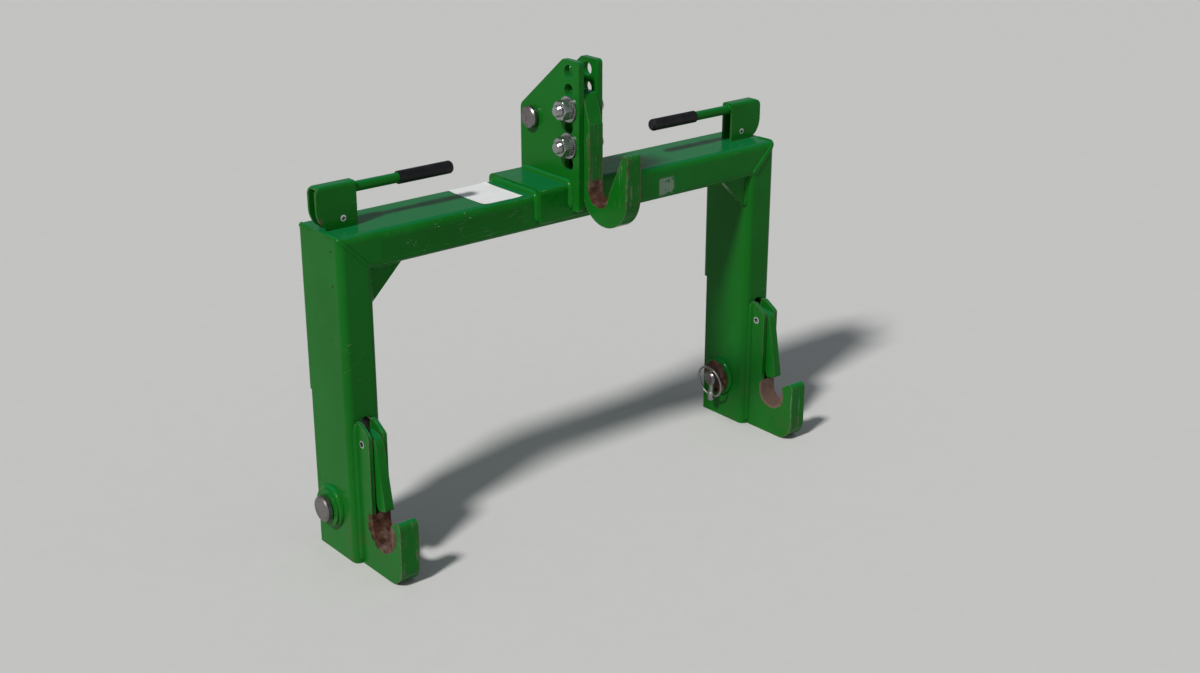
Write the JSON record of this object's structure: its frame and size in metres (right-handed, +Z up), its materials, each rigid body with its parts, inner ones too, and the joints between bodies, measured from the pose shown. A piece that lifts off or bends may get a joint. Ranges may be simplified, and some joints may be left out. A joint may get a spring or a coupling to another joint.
{
  "type": "three point quick hitch",
  "caption": "Tube arch that stays on a tractor's three point arms and picks up an implement on three open hooks; lever-worked latches lock the lower two.",
  "frame": {"origin": "middle of the base, under the centre of the whole hitch's bounding box", "axes": "+Z up, -Y towards the implement (the open side of the hooks), +Y towards the tractor, +X to the right when looking along +Y"},
  "size_m": [0.7646, 0.215, 0.603],
  "materials": {
    "green_paint": "gloss enamel, worn and chipped",
    "plain_steel": "bare steel with light rust",
    "zinc_steel": "bright zinc plate",
    "yellow_zinc": "dulled yellow zinc plate",
    "spring_steel": "oiled spring steel",
    "black_grip": "smooth black vinyl"
  },
  "bodies": {
    "frame": {"cross_tube": "green_paint", "mast_saddle": "green_paint", "upper_hook": "green_paint", "upper_hook_bolts": "plain_steel", "upper_hook_washers": "plain_steel", "upper_hook_nuts": "plain_steel", "left_leg_tube": "green_paint", "left_corner_gusset": "green_paint", "left_outer_link_boss": "green_paint", "left_inner_link_boss": "green_paint", "left_lower_hook": "green_paint", "left_latch_pin": "zinc_steel", "left_mast_plate": "green_paint", "left_rod_spring": "spring_steel", "right_leg_tube": "green_paint", "right_corner_gusset": "green_paint", "right_outer_link_boss": "green_paint", "right_inner_link_boss": "green_paint", "right_lower_hook": "green_paint", "right_latch_pin": "zinc_steel", "right_mast_plate": "green_paint", "right_rod_spring": "spring_steel"},
    "left_rod": {"left_latch_rod": "green_paint", "left_rod_collar": "plain_steel", "left_rod_clip": "spring_steel"},
    "left_lever": {"left_lever_bracket": "green_paint", "left_lever_bar": "green_paint", "left_lever_grip": "black_grip", "left_lever_pin": "zinc_steel"},
    "left_latch": {"left_latch": "green_paint"},
    "left_link_pin": {"left_link_pin": "plain_steel", "left_link_lynch_pin": "yellow_zinc"},
    "left_link_ring": {"left_link_lynch_ring": "spring_steel"},
    "right_rod": {"right_latch_rod": "green_paint", "right_rod_collar": "plain_steel", "right_rod_clip": "spring_steel"},
    "right_lever": {"right_lever_bracket": "green_paint", "right_lever_bar": "green_paint", "right_lever_grip": "black_grip", "right_lever_pin": "zinc_steel"},
    "right_latch": {"right_latch": "green_paint"},
    "right_link_pin": {"right_link_pin": "plain_steel", "right_link_lynch_pin": "yellow_zinc"},
    "right_link_ring": {"right_link_lynch_ring": "spring_steel"},
    "top_pin": {"top_link_pin": "plain_steel", "top_link_lynch_pin": "yellow_zinc"},
    "top_ring": {"top_link_lynch_ring": "spring_steel"}
  },
  "joints": [
    {"name": "left_rod_slide", "type": "slide", "parent": "frame", "child": "left_rod", "axis": [0, 0, 1], "range_m": [0, 0.0246], "stiffness_N_per_m": 900, "springref_m": -0.02, "deforming": ["left_rod_spring"]},
    {"name": "left_lever_hinge", "type": "hinge", "parent": "left_rod", "child": "left_lever", "pos_m": [-0.3335, 0.0515, 0.446], "axis": [0, -1, 0], "range_deg": [0, 90]},
    {"name": "left_latch_hinge", "type": "hinge", "parent": "frame", "child": "left_latch", "pos_m": [-0.3415, -0.0085, 0.17], "axis": [1, 0, 0], "range_deg": [0, 22.3]},
    {"name": "left_link_pin_spin", "type": "hinge", "parent": "frame", "child": "left_link_pin", "pos_m": [-0.3415, 0.0555, 0.064], "axis": [1, 0, 0], "continuous": true},
    {"name": "left_link_ring_hinge", "type": "hinge", "parent": "left_link_pin", "child": "left_link_ring", "pos_m": [-0.302, 0.0555, 0.035], "axis": [0, 1, 0], "range_deg": [0, 140]},
    {"name": "right_rod_slide", "type": "slide", "parent": "frame", "child": "right_rod", "axis": [0, 0, 1], "range_m": [0, 0.0246], "stiffness_N_per_m": 900, "springref_m": -0.02, "deforming": ["right_rod_spring"]},
    {"name": "right_lever_hinge", "type": "hinge", "parent": "right_rod", "child": "right_lever", "pos_m": [0.3335, 0.0515, 0.446], "axis": [0, 1, 0], "range_deg": [0, 90]},
    {"name": "right_latch_hinge", "type": "hinge", "parent": "frame", "child": "right_latch", "pos_m": [0.3415, -0.0085, 0.17], "axis": [1, 0, 0], "range_deg": [0, 22.3]},
    {"name": "right_link_pin_spin", "type": "hinge", "parent": "frame", "child": "right_link_pin", "pos_m": [0.3415, 0.0555, 0.064], "axis": [1, 0, 0], "continuous": true},
    {"name": "right_link_ring_hinge", "type": "hinge", "parent": "right_link_pin", "child": "right_link_ring", "pos_m": [0.302, 0.0555, 0.035], "axis": [0, -1, 0], "range_deg": [0, 140]},
    {"name": "top_pin_spin", "type": "hinge", "parent": "frame", "child": "top_pin", "pos_m": [0, 0.076, 0.516], "axis": [1, 0, 0], "continuous": true},
    {"name": "top_ring_hinge", "type": "hinge", "parent": "top_pin", "child": "top_ring", "pos_m": [0.0273, 0.076, 0.487], "axis": [0, 1, 0], "range_deg": [0, 140]}
  ],
  "couplings": [
    {"joint": "left_rod_slide", "follows": "left_lever_hinge", "m_per_rad": 0.015597},
    {"joint": "left_latch_hinge", "follows": "left_lever_hinge", "ratio": 0.2468},
    {"joint": "right_rod_slide", "follows": "right_lever_hinge", "m_per_rad": 0.015597},
    {"joint": "right_latch_hinge", "follows": "right_lever_hinge", "ratio": 0.2468}
  ]
}
